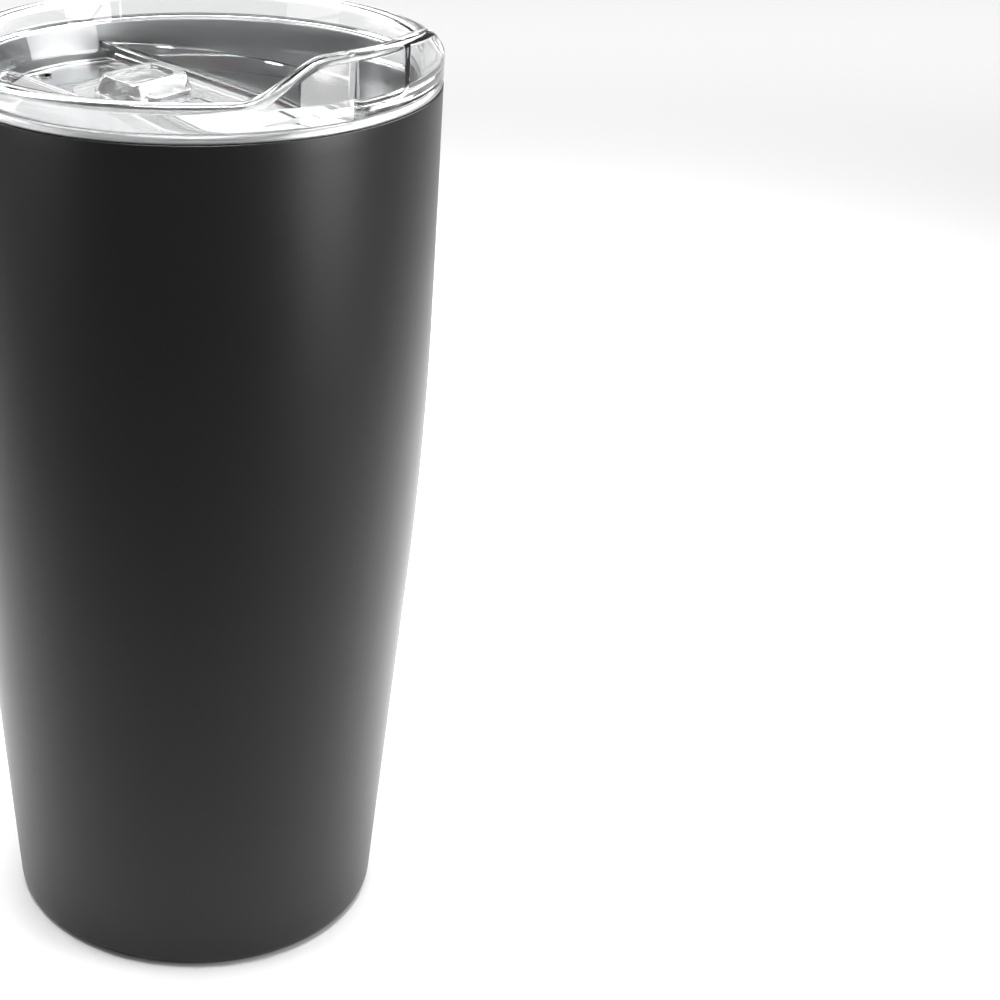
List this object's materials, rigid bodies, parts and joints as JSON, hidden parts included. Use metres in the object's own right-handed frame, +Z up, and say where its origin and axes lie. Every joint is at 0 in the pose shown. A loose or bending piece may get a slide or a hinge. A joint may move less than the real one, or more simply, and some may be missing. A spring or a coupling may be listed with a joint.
{
  "type": "insulated tumbler",
  "caption": "Tapered vacuum-insulated tumbler with a dark coated shell, a bright steel lip and a clear plug lid whose rim rises to a spout closed by a sliding thumb tab.",
  "frame": {"origin": "centre of the foot, on the surface that the cup stands on", "axes": "+Z up along the cup's axis, +X from the axis towards the drinking spout, +Y to the left of the spout seen from above with the spout pointing away"},
  "size_m": [0.089, 0.089, 0.1819],
  "materials": {
    "shell_coat": "satin black powder coat with a fine orange-peel texture",
    "bare_steel": "stainless steel, brushed round inside, polished at the lip",
    "copper_foil": "bright thin copper foil",
    "base_steel": "pressed stainless steel",
    "seal_bead": "dull solder bead",
    "getter": "matt sintered getter metal",
    "cover_coat": "satin black powder coat",
    "clear_plastic": "clear glossy moulded plastic with a faint cool tint",
    "silicone": "translucent natural silicone",
    "slide_plastic": "clear glossy moulded plastic, the grip lightly polished"
  },
  "bodies": {
    "cup": {"outer_shell": "shell_coat", "inner_liner": "bare_steel", "copper_wrap": "copper_foil", "outer_base": "base_steel", "vacuum_seal": "seal_bead", "getter_holder": "base_steel", "getter_pellet": "getter", "base_cover": "cover_coat"},
    "lid": {"lid_body": "clear_plastic", "lid_gasket": "silicone"},
    "slide": {"slide_tab": "slide_plastic"}
  },
  "joints": [
    {"name": "lid_lift", "type": "slide", "parent": "cup", "child": "lid", "axis": [0, 0, 1], "range_m": [0, 0.03]},
    {"name": "slide_open", "type": "slide", "parent": "lid", "child": "slide", "axis": [-0.9968, 0, 0.0802], "range_m": [0, 0.011]}
  ]
}
